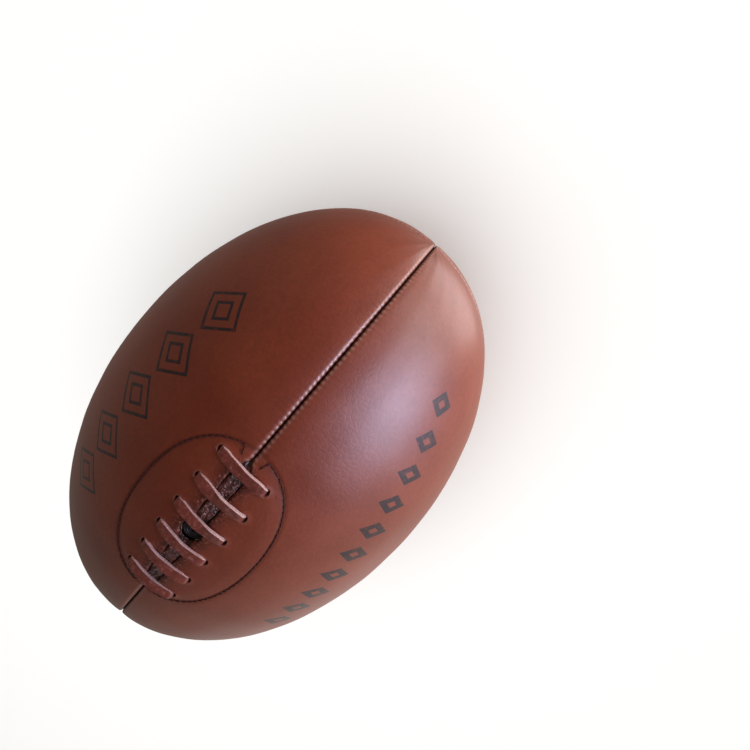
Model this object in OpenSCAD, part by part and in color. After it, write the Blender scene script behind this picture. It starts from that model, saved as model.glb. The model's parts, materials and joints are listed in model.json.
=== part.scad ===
// Laced rugby ball: four sewn leather panels over a cloth lining, a rubber
// bladder with a push-in valve plug, and a flat leather lace over the slit.
// The long axis lies along X and the middle of the laced seam faces +Z.
// The origin is the centre of the ball. Depths are measured inwards from
// the leather's outer face, and heights outwards from it.

/* [Ball] */
// Length from point to point
ball_length = 288; // [280:1:300]
// Width across the middle
ball_width = 191; // [186:1:197]
// Fullness of the ends, where 0.5 is a plain ellipse and less is blunter
end_fullness = 0.46; // [0.44:0.01:0.5]

/* [Leather and lining] */
// Thickness of a leather panel
leather_t = 1.8; // [1.6:0.1:2.0]
// Thickness of the cloth lining
lining_t = 0.6; // [0.4:0.1:0.7]
// How deep the turned-in edges of a seam reach
flange_depth = 5.5; // [5.0:0.1:5.6]
// Width of the open crease along a seam
crease_w = 1.2; // [1.0:0.1:1.6]

/* [Lacing] */
// Holes along each side of the slit
holes_per_side = 6; // [4:2:6]
// Distance from one hole to the next
hole_pitch = 15.7; // [14:0.1:16.5]
// Diameter of a lace hole
hole_d = 4.4; // [4.2:0.1:5]
// How far the left row of holes sits ahead of the right one
hole_stagger = 2.6; // [0:0.1:4]
// Angle of a row of holes from the seam, seen along the ball
row_angle = 7.6; // [7:0.1:8.5]
// Width of the flat lace
lace_w = 5; // [4:0.1:5.4]
// Thickness of the flat lace
lace_t = 1.8; // [1.4:0.1:1.8]
// Gap between the two lips of the slit
slit_w = 7.5; // [6:0.1:8]

/* [Valve] */
// Outer diameter of the rubber collar
collar_d = 9; // [8.6:0.1:9.4]
// Diameter of the plug's shank
plug_d = 4.9; // [4:0.1:5]
// Diameter of the needle hole in the plug
needle_hole_d = 2; // [1.6:0.1:2.4]

/* [Hidden] */

half_length = ball_length / 2;
half_width = ball_width / 2;
// Radius of the lengthwise curve at the middle of the ball
belly_r = pow(half_length, 2) / (2 * end_fullness * half_width);
outline_steps = 36;
turn_fn = 144;
hole_fn = 48;
// Half size of the blocks that cut right through the ball
reach = 160;
// Clearance between pieces that lie on each other
lay_gap = 0.1;

// Depth of each layer's outer face, from the leather inwards
lining_top = leather_t + lay_gap;
facing_top = lining_top + lining_t + lay_gap;
facing_t = 1.2;
lace_inner_depth = facing_top + facing_t + lay_gap + lace_t / 2;
crease_depth = 3;
flange_t = 1.8;
flange_top = 1.2;
thread_w = 1;
thread_top = 2;

// The slit, with a half-round notch in each lip for the valve
slit_front = 46;
slit_rear = 51;
notch_r = 5.4;

// The oval line of stitches, as half sizes seen from above
stitch_half_x = 49.5;
stitch_half_y = 31.4;
stitch_w = 0.8;
stitch_h = 0.5;
oval_power = 2.25;
oval_steps = 56;
facing_margin = 3;

// The tongue lies under the lace and rises between the lips
tongue_t = 1.2;
tongue_crest_depth = facing_top + facing_t + 0.2;
tongue_wing_depth = lace_inner_depth + lace_t / 2 + 0.4;
tongue_half_y = 25;
tongue_half_angle = 12.8;
tongue_step = 2.5;
tongue_hole_r = 5.6;

// The bladder fills the casing and is pushed in at seams and lacing
bladder_t = 0.7;
bladder_top = facing_top;
pocket_depth = tongue_wing_depth + tongue_t + 0.6;
pocket_half = [56, 37];

// The valve
collar_top_depth = 2;
collar_length = 17.5;
bore_clearance = 0.05;
seat_r = 3.65;
seat_depth = 1.2;
valve_flange_r = 12;
valve_flange_t = 1;
plug_head_r = 3.55;
plug_head_t = 1.1;
plug_length = 15;
needle_floor = 2.5;

// Start angle of each quarter, counted from the bottom towards +Y
back_left_turn = 0;
lace_left_turn = 90;
lace_right_turn = 180;
back_right_turn = 270;

// ---- Outline of the ball ----

// A point of the lengthwise outline as [along, radius]
function outline(t) = [half_length * cos(t), half_width * pow(sin(t), 2 * end_fullness)];

// Outward direction of the outline there as [along, radius]
function outward(t) =
    sin(t) < 0.001 ? [cos(t), 0] :
    let (n = [2 * end_fullness * half_width * pow(sin(t), 2 * end_fullness - 1) * cos(t),
              half_length * sin(t)])
    n / norm(n);

function radius_at(x) = outline(acos(x / half_length))[1];
function outward_at(x) = outward(acos(x / half_length));

// The outline pushed in by a depth, as [radius, along] from the +X point back
function layer_line(depth) =
    [for (i = [0 : outline_steps])
        let (t = 180 * i / outline_steps, p = outline(t) - depth * outward(t))
        [max(0, p[1]), p[0]]];

function reversed(list) = [for (i = [len(list) - 1 : -1 : 0]) list[i]];
function unit(v) = v / norm(v);
function smooth(u) = let (c = min(1, max(0, u))) c * c * (3 - 2 * c);

// Everything inside a depth
module core(depth) {
    rotate([0, 90, 0])
        rotate_extrude($fn = turn_fn)
            polygon(layer_line(depth));
}

// The wall between two depths, over part of a turn
module wall(depth, thickness, start, sweep) {
    rotate([0, 90, 0])
        rotate([0, 0, start])
            rotate_extrude(angle = sweep, $fn = turn_fn)
                polygon(concat(layer_line(depth), reversed(layer_line(depth + thickness))));
}

// Slabs along both seam planes
module seam_slabs(thickness) {
    cube([2 * reach, thickness, 2 * reach], center = true);
    cube([2 * reach, 2 * reach, thickness], center = true);
}

module creases() {
    difference() {
        seam_slabs(crease_w);
        core(crease_depth);
    }
}

// ---- Lacing layout ----

function hole_x(i, side) =
    ((holes_per_side - 1) / 2 - i) * hole_pitch + side * hole_stagger / 2;

// Moves its children to the leather's face, with +Z pointing outwards
module on_face(x, angle) {
    n = outward_at(x);
    rotate([-angle, 0, 0])
        translate([x, 0, radius_at(x)])
            rotate([0, atan2(n[0], n[1]), 0])
                children();
}

module lace_holes() {
    for (side = [-1, 1], i = [0 : holes_per_side - 1])
        on_face(hole_x(i, side), side * row_angle)
            cylinder(d = hole_d, h = 24, center = true, $fn = hole_fn);
}

module slit() {
    translate([-slit_rear, -slit_w / 2, 0])
        cube([slit_front + slit_rear, slit_w, reach]);
    cylinder(r = notch_r, h = reach, $fn = hole_fn);
}

// Half of the oval on one side of the slit, seen from above
function half_oval(rx, ry, side) =
    [for (i = [0 : oval_steps / 2])
        let (a = 360 * i / oval_steps)
        [rx * sign(cos(a)) * pow(abs(cos(a)), 2 / oval_power),
         side * ry * pow(max(0, sin(a)), 2 / oval_power)]];

// ---- Leather casing ----

module panel(turn, laced) {
    color("#6e3326")
        difference() {
            union() {
                wall(0, leather_t, turn, 90);
                intersection() {
                    wall(flange_top, flange_depth - flange_top, turn, 90);
                    seam_slabs(2 * flange_t);
                }
            }
            creases();
            if (laced) {
                slit();
                lace_holes();
            }
        }
}

module panel_lace_left() panel(lace_left_turn, true);
module panel_lace_right() panel(lace_right_turn, true);
module panel_back_left() panel(back_left_turn, false);
module panel_back_right() panel(back_right_turn, false);

module lining(turn, laced) {
    color("#cdbf9f")
        difference() {
            wall(lining_top, lining_t, turn, 90);
            seam_slabs(2 * (flange_t + lay_gap));
            if (laced) {
                slit();
                lace_holes();
            }
        }
}

module lining_lace_left() lining(lace_left_turn, true);
module lining_lace_right() lining(lace_right_turn, true);
module lining_back_left() lining(back_left_turn, false);
module lining_back_right() lining(back_right_turn, false);

// ---- Slit facings, their stitches and the tongue ----

module facing(turn, side) {
    color("#8a5038")
        difference() {
            intersection() {
                wall(facing_top, facing_t, turn, 90);
                linear_extrude(height = reach)
                    polygon(half_oval(stitch_half_x + facing_margin,
                                      stitch_half_y + facing_margin, side));
            }
            slit();
            lace_holes();
            seam_slabs(2 * (flange_t + lay_gap));
        }
}

module facing_left() facing(lace_left_turn, 1);
module facing_right() facing(lace_right_turn, -1);

// A raised line of thread on the leather, over one half of the oval
module facing_stitch(turn, side) {
    color("#4a2018")
        difference() {
            intersection() {
                wall(-stitch_h, stitch_h, turn, 90);
                linear_extrude(height = reach)
                    polygon(concat(
                        half_oval(stitch_half_x + stitch_w / 2, stitch_half_y + stitch_w / 2, side),
                        reversed(half_oval(stitch_half_x - stitch_w / 2,
                                           stitch_half_y - stitch_w / 2, side))));
            }
            cube([2 * reach, slit_w, 2 * reach], center = true);
        }
}

module facing_stitch_left() facing_stitch(lace_left_turn, 1);
module facing_stitch_right() facing_stitch(lace_right_turn, -1);

function tongue_depth(y) =
    tongue_crest_depth
    + (tongue_wing_depth - tongue_crest_depth) * smooth((abs(y) - slit_w / 2) / 5.5);

// A point of the tongue's section, out from the axis of its lengthwise curve
function tongue_point(y, depth) =
    [belly_r - half_width + sqrt(pow(half_width - depth, 2) - y * y), y];

module tongue() {
    ys = [for (y = [-tongue_half_y : tongue_step : tongue_half_y]) y];
    top_side = [for (y = ys) tongue_point(y, tongue_depth(y))];
    under_side = [for (y = ys) tongue_point(y, tongue_depth(y) + tongue_t)];
    color("#5e342a")
        difference() {
            translate([0, 0, half_width - belly_r])
                rotate([90, 0, 0])
                    rotate([0, 0, 90 - tongue_half_angle])
                        rotate_extrude(angle = 2 * tongue_half_angle, $fn = 4 * turn_fn)
                            polygon(concat(top_side, reversed(under_side)));
            cylinder(r = tongue_hole_r, h = reach, $fn = hole_fn);
            tongue_notch(slit_front);
            tongue_notch(-slit_rear - reach);
        }
}

// Room for the turned-in seam edges past one end of the slit
module tongue_notch(from_x) {
    half = flange_t + 2 * lay_gap;
    translate([from_x - lay_gap, -half, 0])
        cube([reach + 2 * lay_gap, 2 * half, reach]);
}

// ---- Seam threads ----

// A strand in the bottom of a crease, from one point of the ball to the other
module crease_strand(turn) {
    difference() {
        intersection() {
            wall(thread_top, crease_depth - lay_gap - thread_top, turn - 45, 90);
            rotate([turn, 0, 0])
                cube([2 * reach, thread_w, 2 * reach], center = true);
        }
        rotate([0, 90, 0])
            cylinder(r = 1.4, h = 2 * reach, center = true, $fn = hole_fn);
    }
}

module laced_seam_thread(from_x, to_x) {
    color("#3a1a12")
        intersection() {
            crease_strand(180);
            translate([from_x, -reach, 0])
                cube([to_x - from_x, 2 * reach, reach]);
        }
}

module seam_thread_front() laced_seam_thread(slit_front + lay_gap, reach);
module seam_thread_rear() laced_seam_thread(-reach, -slit_rear - lay_gap);
module seam_thread_left() color("#3a1a12") crease_strand(90);
module seam_thread_right() color("#3a1a12") crease_strand(270);
module seam_thread_bottom() color("#3a1a12") crease_strand(0);

// ---- Lace ----

// A point over the leather's face, at an angle from the seam and a height
function face_point(x, angle, height) =
    let (n = outward_at(x), r = radius_at(x) + height * n[1])
    [x + height * n[0], r * sin(angle), r * cos(angle)];

// One leg through a hole, from under the facing out onto the leather. Each
// row is [offset along X, share of the row angle, height, width, thickness, twist]
hole_leg = [[2.6, 1, -lace_inner_depth, lace_w, lace_t, 90],
            [1, 1, -lace_inner_depth + 0.25, 3.2, 2, 90],
            [0, 1, -2.9, 3, 2.6, 60],
            [0, 1, -0.6, 3.2, 2.4, 10],
            [0, 0.95, 0.9, 4, 1.9, 0],
            [0, 0.83, 1.4, lace_w, lace_t, 0],
            [0, 0.45, 1.5, lace_w, lace_t, 0]];

// Stations of the strap that climbs out on one side and dives on the other
function strap(i) =
    let (side = i % 2 == 0 ? 1 : -1,
         x_up = hole_x(i, side),
         x_down = hole_x(i, -side),
         x_mid = (x_up + x_down) / 2)
    concat(
        [for (s = hole_leg)
            let (inward = abs(s[1]) < 1 ? (1 - s[1]) / 2 : 0)
            [x_up + s[0] + inward * (x_down - x_up), side * s[1], s[2], s[3], s[4], s[5]]],
        [[x_mid, 0, 1.6, lace_w, lace_t, 0]],
        [for (s = reversed(hole_leg))
            let (inward = abs(s[1]) < 1 ? (1 - s[1]) / 2 : 0)
            [x_down - s[0] + inward * (x_up - x_down), -side * s[1], s[2], s[3], s[4], s[5]]]);

// The whole lace, with a short tail tucked under the facing at both ends
tail_length = 8;
tail_front = [hole_x(0, 1) + tail_length, 1, -lace_inner_depth, lace_w, lace_t, 90];
tail_rear = [hole_x(holes_per_side - 1, 1) - tail_length, 1, -lace_inner_depth,
             lace_w, lace_t, 90];
stations = concat([tail_front],
                  [for (i = [0 : holes_per_side - 1]) each strap(i)],
                  [tail_rear]);

centres = [for (s = stations) face_point(s[0], s[1] * row_angle, s[2])];

function squared(v) = sign(v) * sqrt(abs(v));

// Eight points round the lace at one station
function lace_ring(i) =
    let (s = stations[i],
         last = len(stations) - 1,
         along = unit(centres[min(last, i + 1)] - centres[max(0, i - 1)]),
         across = [cos(s[5]), sin(s[5]) * cos(s[1] * row_angle),
                   -sin(s[5]) * sin(s[1] * row_angle)],
         w = unit(across - along * (across * along)),
         t = cross(along, w))
    [for (k = [0 : 7])
        centres[i] + w * (s[3] / 2 * squared(cos(22.5 + 45 * k)))
                   + t * (s[4] / 2 * squared(sin(22.5 + 45 * k)))];

module lace() {
    ring_count = len(stations);
    last_ring = 8 * (ring_count - 1);
    points = [for (i = [0 : ring_count - 1]) each lace_ring(i)];
    sides = [for (i = [0 : ring_count - 2], k = [0 : 7])
        [8 * i + k, 8 * i + 8 + k, 8 * i + 8 + (k + 1) % 8, 8 * i + (k + 1) % 8]];
    color("#9a5a4c")
        polyhedron(points, concat([[for (k = [0 : 7]) k]], sides,
                                  [[for (k = [7 : -1 : 0]) last_ring + k]]));
}

// ---- Bladder and valve ----

// The bladder's outer form, or with a wall thickness its inner form
module bladder_form(inset) {
    difference() {
        core(bladder_top + inset);
        difference() {
            seam_slabs(2 * (flange_t + 2 * lay_gap + inset));
            core(flange_depth + 2 * lay_gap + inset);
        }
        difference() {
            translate([-pocket_half[0] - inset, -pocket_half[1] - inset, 0])
                cube([2 * (pocket_half[0] + inset), 2 * (pocket_half[1] + inset), reach]);
            core(pocket_depth + inset);
        }
    }
}

module bladder() {
    color("#2b2a2a")
        difference() {
            bladder_form(0);
            bladder_form(bladder_t);
            cylinder(d = collar_d + 2 * lay_gap, h = reach, $fn = hole_fn);
        }
}

module valve_body() {
    collar_top = half_width - collar_top_depth;
    color("#1d1c1c")
        difference() {
            union() {
                intersection() {
                    wall(pocket_depth + bladder_t + lay_gap, valve_flange_t, 90, 180);
                    cylinder(r = valve_flange_r, h = reach, $fn = hole_fn);
                }
                translate([0, 0, collar_top - collar_length])
                    cylinder(d = collar_d, h = collar_length, $fn = hole_fn);
            }
            translate([0, 0, collar_top - collar_length - 1])
                cylinder(r = plug_d / 2 + bore_clearance, h = collar_length + 2, $fn = hole_fn);
            translate([0, 0, collar_top - seat_depth])
                cylinder(r = seat_r, h = seat_depth + 1, $fn = hole_fn);
        }
}

module valve_plug() {
    head_base = half_width - collar_top_depth - seat_depth + bore_clearance;
    color("#141414")
        difference() {
            union() {
                translate([0, 0, head_base + plug_head_t - plug_length])
                    cylinder(d = plug_d, h = plug_length, $fn = hole_fn);
                translate([0, 0, head_base])
                    cylinder(r = plug_head_r, h = plug_head_t, $fn = hole_fn);
            }
            translate([0, 0, head_base + plug_head_t - plug_length + needle_floor])
                cylinder(d = needle_hole_d, h = plug_length, $fn = hole_fn);
        }
}

panel_lace_left();
panel_lace_right();
panel_back_left();
panel_back_right();
lining_lace_left();
lining_lace_right();
lining_back_left();
lining_back_right();
facing_left();
facing_right();
tongue();
lace();
seam_thread_front();
seam_thread_rear();
seam_thread_left();
seam_thread_right();
seam_thread_bottom();
facing_stitch_left();
facing_stitch_right();
bladder();
valve_body();
valve_plug();
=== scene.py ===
import json
import math
import bpy
import numpy as np
from mathutils import Matrix, Vector


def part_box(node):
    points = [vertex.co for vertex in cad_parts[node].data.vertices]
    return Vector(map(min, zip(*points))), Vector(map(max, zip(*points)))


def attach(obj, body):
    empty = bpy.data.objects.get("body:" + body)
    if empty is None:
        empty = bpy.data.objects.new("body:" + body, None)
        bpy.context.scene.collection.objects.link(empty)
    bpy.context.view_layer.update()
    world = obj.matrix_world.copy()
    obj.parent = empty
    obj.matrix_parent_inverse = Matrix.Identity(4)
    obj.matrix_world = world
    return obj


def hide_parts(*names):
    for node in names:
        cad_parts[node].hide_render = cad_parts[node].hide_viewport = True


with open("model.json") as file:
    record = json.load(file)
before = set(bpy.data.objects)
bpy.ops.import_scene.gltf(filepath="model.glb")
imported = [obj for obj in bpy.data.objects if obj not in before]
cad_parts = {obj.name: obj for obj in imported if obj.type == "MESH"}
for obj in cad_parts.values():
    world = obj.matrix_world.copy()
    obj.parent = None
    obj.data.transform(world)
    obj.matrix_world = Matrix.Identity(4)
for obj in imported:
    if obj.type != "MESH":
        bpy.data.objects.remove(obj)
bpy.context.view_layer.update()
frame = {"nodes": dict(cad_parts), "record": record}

mm = 0.001  # shapes are worked out in millimetres and become metres when a mesh is built
bodyOf = {node: body for body, nodes in frame["record"]["behaviour"]["bodies"].items() for node in nodes}

ball = {
    "halfWidth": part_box("panel_back_left")[1][1] / mm,  # radius at the middle
    "halfLength": 144.0,     # centre to point
    "fullness": 0.46,        # half would be a plain ellipse, less is blunter
    "tipRadius": 1.3,        # the panels' tips stop this far from the long axis
}


view = {
    "place": (0.1848, 0.0016, 0.2756),
    "right": (0.6242, -0.7564, -0.1955),
    "up": (0.6829, 0.6499, -0.3336),
    "lens": 26.56,
    "sensor": 36.0,
}


def makeCamera():
    data = bpy.data.cameras.new("camera")
    data.lens = view["lens"]
    data.sensor_width = view["sensor"]
    data.clip_start = 0.01
    right = Vector(view["right"]).normalized()
    back = right.cross(Vector(view["up"])).normalized()
    up = back.cross(right)
    camera = bpy.data.objects.new("camera", data)
    facing = Matrix((right, up, back)).transposed().to_4x4()
    camera.matrix_world = Matrix.Translation(view["place"]) @ facing
    bpy.context.scene.collection.objects.link(camera)
    bpy.context.scene.camera = camera


studio = {
    # direction from the ball, distance and size in m, watts spread on surfaces and watts mirrored, colour
    "keyWindow": ((0.88, -0.43, 0.00), 0.95, (0.52, 0.60), 4.1, 11.0, "#fff7f4"),
    "skyWindow": ((0.48, -0.72, 0.48), 0.95, (0.52, 0.58), 4.0, 21.0, "#d9dcff"),
    "sideWall": ((-0.06, -1.00, -0.02), 1.00, (1.20, 0.60), 1.6, 7.0, "#fff2f0"),
    "tableTop": ((0.77, -0.37, -0.55), 0.95, (0.66, 0.60), 0.0, 3.9, "#ffffff"),
    "lowWall": ((-0.72, -0.62, -0.34), 0.95, (0.80, 0.50), 0.0, 0.35, "#ffffff"),
    "roomFill": ((0.60, 0.72, 0.25), 1.20, (1.00, 1.00), 1.8, 0.0, "#fff4e6"),
}
floorLook = {
    "colour": "#f6f6f5",
    "size": 3.0,
    "lampSize": (2.6, 2.6),
    "lampHeight": 1.6,
    "watts": 50.0,
}
room = {
    # wall colours from the floor (0) to overhead (1), and how much brighter they are towards the windows
    "walls": ((0.25, "#84807a"), (0.55, "#7c7872"), (0.85, "#524f4c")),
    "windows": (0.05, -0.98, -0.15),
    "brighter": 2.8,
}


def softbox(name, direction, distance, size, watts, colour):
    data = bpy.data.lights.new(name, "AREA")
    data.shape = "RECTANGLE"
    data.size, data.size_y = size
    data.energy = watts
    data.color = toLinear(colour)[:3]
    lamp = bpy.data.objects.new(name, data)
    away = Vector(direction).normalized()
    lamp.location = away * distance
    lamp.rotation_mode = "QUATERNION"
    lamp.rotation_quaternion = away.to_track_quat("Z", "Y")
    bpy.context.scene.collection.objects.link(lamp)
    return lamp


def makeStudio(objectPieces):
    half = floorLook["size"] / 2
    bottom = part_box("panel_back_left")[0][2]
    mesh = bpy.data.meshes.new("floor")
    corners = [(-half, -half), (half, -half), (half, half), (-half, half)]
    mesh.from_pydata([(x, y, bottom) for x, y in corners], [], [(0, 1, 2, 3)])
    floor = bpy.data.objects.new("floor", mesh)
    bpy.context.scene.collection.objects.link(floor)
    # matt white card
    card, _, _ = newMaterial("floorCard", {"Base Color": toLinear(floorLook["colour"]), "Roughness": 0.9})
    mesh.materials.append(card)
    # the ball mirrors a room that is darker than this floor, and its windows reach below the floor's level
    floor.visible_glossy = False
    floor.visible_diffuse = False
    floor.visible_shadow = False

    lit = bpy.data.collections.new("litFromAbove")
    lit.objects.link(floor)
    above = softbox("floorLight", (0, 0, 1), floorLook["lampHeight"], floorLook["lampSize"],
                    floorLook["watts"], "#ffffff")
    above.light_linking.receiver_collection = lit
    pieces = bpy.data.collections.new("litFromTheSide")
    for piece in objectPieces:
        pieces.objects.link(piece)
    for name, (direction, distance, size, spread, mirrored, colour) in studio.items():
        for suffix, watts in (("Spread", spread), ("Mirrored", mirrored)):
            if watts:
                lamp = softbox(name + suffix, direction, distance, size, watts, colour)
                lamp.light_linking.receiver_collection = pieces
                lamp.visible_glossy = suffix == "Mirrored"
                lamp.visible_diffuse = suffix == "Spread"

    world = bpy.data.worlds.new("room")
    world.use_nodes = True
    tree = world.node_tree
    tree.nodes.clear()
    # a dim room: walls by height, times 1 rising to room["brighter"] with the cosine towards the windows
    direction = add(tree, "TexCoord")
    part = add(tree, "SeparateXYZ", {"Vector": (direction, "Generated")})
    height = add(tree, "MapRange", {"Value": (part, "Z"), "From Min": -1.0, "From Max": 1.0})
    wall = add(tree, "ValToRGB", {"Fac": height}, stops=room["walls"])
    towards = tuple(Vector(room["windows"]).normalized())
    facing = add(tree, "VectorMath", {0: (direction, "Generated"), 1: towards}, operation="DOT_PRODUCT")
    near = add(tree, "MapRange", {"Value": (facing, "Value"), "From Min": -0.2, "From Max": 1.0,
                                  "To Min": 1.0, "To Max": room["brighter"]})
    glow = add(tree, "VectorMath", {0: wall, "Scale": near}, operation="SCALE")
    light = add(tree, "Background", {"Color": glow, "Strength": 1.0})
    add(tree, "OutputWorld", {"Surface": light})
    bpy.context.scene.world = world
    bpy.context.scene.view_settings.view_transform = "Standard"


def toLinear(colour):
    parts = [int(colour[k:k + 2], 16) / 255 for k in (1, 3, 5)]
    return [p / 12.92 if p <= 0.04045 else ((p + 0.055) / 1.055) ** 2.4 for p in parts] + [1.0]


def firstOutput(node):
    return next(output for output in node.outputs if not output.is_unavailable)


def add(tree, kind, inputs=None, stops=None, **settings):
    # adds one node; an input takes a value, a node, or a node and the name of one of its outputs
    node = tree.nodes.new("ShaderNode" + kind)
    for key, value in settings.items():
        setattr(node, key, value)
    for key, source in (inputs or {}).items():
        if hasattr(source, "outputs"):
            tree.links.new(firstOutput(source), node.inputs[key])
        elif isinstance(source, tuple) and hasattr(source[0], "outputs"):
            tree.links.new(source[0].outputs[source[1]], node.inputs[key])
        else:
            node.inputs[key].default_value = source
    if stops:
        points = node.color_ramp.elements
        while len(points) < len(stops):
            points.new(0.5)
        for point, (place, colour) in zip(points, stops):
            point.position = place
            point.color = toLinear(colour) if isinstance(colour, str) else (colour, colour, colour, 1.0)
    return node


def newMaterial(name, constants):
    material = bpy.data.materials.new(name)
    material.use_nodes = True
    tree = material.node_tree
    tree.nodes.clear()
    surface = add(tree, "BsdfPrincipled", constants)
    add(tree, "OutputMaterial", {"Surface": surface})
    return material, tree, surface


def link(tree, source, surface, socket):
    tree.links.new(firstOutput(source), surface.inputs[socket])


def inMillimetres(tree):
    place = add(tree, "TexCoord")
    return add(tree, "Mapping", {"Vector": (place, "Object"), "Scale": (1000, 1000, 1000)})


hide = {
    "colour": "#a34829",       # dyed through, russet brown
    "deepColour": "#933d22",   # where more dye was taken up
    "paleColour": "#d29f8e",   # rubbed rims, turned shoulders and spots; on the shoulder beads it also stands for painted highlight
    "darkColour": "#2e120c",   # painted shade in creases, grooves, holes and on hidden walls; also the cracks of a broken finish
    "inkColour": "#1b1a20",
    "cloud": 38.0,             # mm across one cloud of dye
    "fleck": 2.0,
    "pore": 0.9,               # real pores are a third of this and would not show
    "poreDepth": 0.00005,      # in m, like every bump below
    "wrinkle": 2.5,            # mm between the fine wrinkles
    "furrow": 0.16,            # a wrinkle's half width, as a share of a cell
    "furrowDepth": 0.00005,
    "broken": 1.1,             # mm across the cracks and rubbed spots beside the slit
    "roughness": (0.33, 0.46),
}
marks = {
    # by side of the slit: angle of the row's middle and half height of a mark in degrees, half width as a
    # share of the pitch, pitch in mm, first and last x, and its lines as (share of its half size, half width)
    1: {"middle": 37.5, "tall": 9.0, "wide": 0.44, "pitch": 27.0, "reach": (-46.0, 89.0),
        "lines": ((0.92, 0.08), (0.42, 0.08))},
    -1: {"middle": -43.0, "tall": 5.6, "wide": 0.34, "pitch": 15.5, "reach": (-45.0, 110.0),
         "lines": ((0.68, 0.32),)},
}


def printedMarks(tree, side):
    # a row of plain lozenges in ink: |along| / half width + |turn| / half height is the same all round one
    row = marks[side]
    pitch = row["pitch"]
    start, end = row["reach"]
    layout = add(tree, "UVMap", uv_map="layout")
    part = add(tree, "SeparateXYZ", {"Vector": layout})
    along = add(tree, "Math", {0: (part, "X"), 1: 100.0}, operation="MULTIPLY")
    turn = add(tree, "Math", {0: (part, "Y"), 1: 100.0, 2: -row["middle"]}, operation="MULTIPLY_ADD")
    step = add(tree, "Math", {0: along, 1: 1 / pitch, 2: -start / pitch}, operation="MULTIPLY_ADD")
    inStep = add(tree, "Math", {0: step}, operation="FRACT")
    offCentre = add(tree, "Math", {0: inStep, 1: 0.5}, operation="SUBTRACT")
    across = add(tree, "Math", {0: offCentre}, operation="ABSOLUTE")
    across = add(tree, "Math", {0: across, 1: 1 / row["wide"]}, operation="MULTIPLY")
    up = add(tree, "Math", {0: turn}, operation="ABSOLUTE")
    size = add(tree, "Math", {0: up, 1: 1 / row["tall"], 2: across}, operation="MULTIPLY_ADD")
    after = add(tree, "Math", {0: along, 1: start}, operation="GREATER_THAN")
    before = add(tree, "Math", {0: along, 1: end}, operation="LESS_THAN")
    inRow = add(tree, "Math", {0: after, 1: before}, operation="MULTIPLY")
    shape = None
    for place, halfWidth in row["lines"]:
        line = add(tree, "Math", {0: size, 1: place, 2: halfWidth}, operation="COMPARE")
        shape = add(tree, "Math", {0: shape, 1: line}, operation="MAXIMUM") if shape else line
    return add(tree, "Math", {0: shape, 1: inRow}, operation="MULTIPLY")


def panelLeather(name, side=0):
    # dyed cowhide, plated smooth and waxed: an even half gloss over faint pores, wrinkles and clouded dye;
    # a laced panel (side 1 or -1) also has its printed row, and a broken finish beside the slit
    material, tree, surface = newMaterial(name, {"IOR": 1.52, "Coat Weight": 0.08, "Coat Roughness": 0.25})
    inMm = inMillimetres(tree)
    cloud = add(tree, "TexNoise", {"Vector": inMm, "Scale": 1 / hide["cloud"], "Detail": 5.0,
                                   "Roughness": 0.6})
    dye = add(tree, "ValToRGB", {"Fac": cloud}, stops=((0.32, hide["deepColour"]), (0.68, hide["colour"])))
    fleck = add(tree, "TexNoise", {"Vector": inMm, "Scale": 1 / hide["fleck"], "Detail": 3.0})
    tone = add(tree, "ValToRGB", {"Fac": fleck}, stops=((0.3, 0.82), (0.7, 1.0)))
    colour = add(tree, "Mix", {0: 1.0, 6: dye, 7: tone}, data_type="RGBA", blend_type="MULTIPLY")
    # pale stripe on the shoulders: rubbed wear plus painted highlight on the beads between stitches
    wearAndHighlight = add(tree, "Attribute", attribute_name="wearAndHighlight")
    layers = [((wearAndHighlight, "Fac"), "paleColour")]
    if side:
        crumpled = add(tree, "Attribute", attribute_name="crumpled")
        broken = add(tree, "TexNoise", {"Vector": inMm, "Scale": 1 / hide["broken"], "Detail": 4.0,
                                        "Roughness": 0.7})
        cracks = add(tree, "ValToRGB", {"Fac": broken}, stops=((0.46, 0.85), (0.58, 0.0)))
        spots = add(tree, "ValToRGB", {"Fac": broken}, stops=((0.60, 0.0), (0.67, 0.9)))
        for pattern, shade in ((cracks, "darkColour"), (spots, "paleColour")):
            amount = add(tree, "Math", {0: (crumpled, "Fac"), 1: pattern}, operation="MULTIPLY")
            layers.append((amount, shade))
    # painted shade: darker in the creases, the stitch groove, the lace holes and on the turned-in walls
    deep = add(tree, "Attribute", attribute_name="deep")
    layers.append(((deep, "Fac"), "darkColour"))
    if side:
        patchy = add(tree, "ValToRGB", {"Fac": fleck}, stops=((0.32, 0.6), (0.48, 0.92)))
        ink = add(tree, "Math", {0: printedMarks(tree, side), 1: patchy}, operation="MULTIPLY")
        layers.append((ink, "inkColour"))
    for amount, shade in layers:
        colour = add(tree, "Mix", {0: amount, 6: colour, 7: toLinear(hide[shade])}, data_type="RGBA")
    link(tree, colour, surface, "Base Color")
    smoothest, roughest = hide["roughness"]
    gloss = add(tree, "MapRange", {"Value": cloud, "To Min": smoothest, "To Max": roughest})
    link(tree, gloss, surface, "Roughness")
    wrinkle = add(tree, "TexVoronoi", {"Vector": inMm, "Scale": 1 / hide["wrinkle"]},
                  feature="DISTANCE_TO_EDGE")
    furrow = add(tree, "MapRange", {"Value": wrinkle, "From Max": hide["furrow"]})
    pore = add(tree, "TexNoise", {"Vector": inMm, "Scale": 1 / hide["pore"], "Detail": 2.0})
    grain = add(tree, "Bump", {"Strength": 0.5, "Distance": hide["poreDepth"], "Height": pore})
    grain = add(tree, "Bump", {"Strength": 0.4, "Distance": hide["furrowDepth"], "Height": furrow,
                               "Normal": grain})
    link(tree, grain, surface, "Normal")
    return material


thong = {
    "faceColours": ((0.34, "#78321f"), (0.56, "#9c493a"), (0.70, "#b87a6c")),
    "cutColours": ((0.25, "#a07068"), (0.7, "#e2bcb4")),
    "cloud": 2.2,       # mm
    "fibre": 0.5,       # real fibres are finer and would not show
    "fibreDepth": 0.0001,
    "roughness": (0.42, 0.75),    # face and cut edge
}


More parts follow.
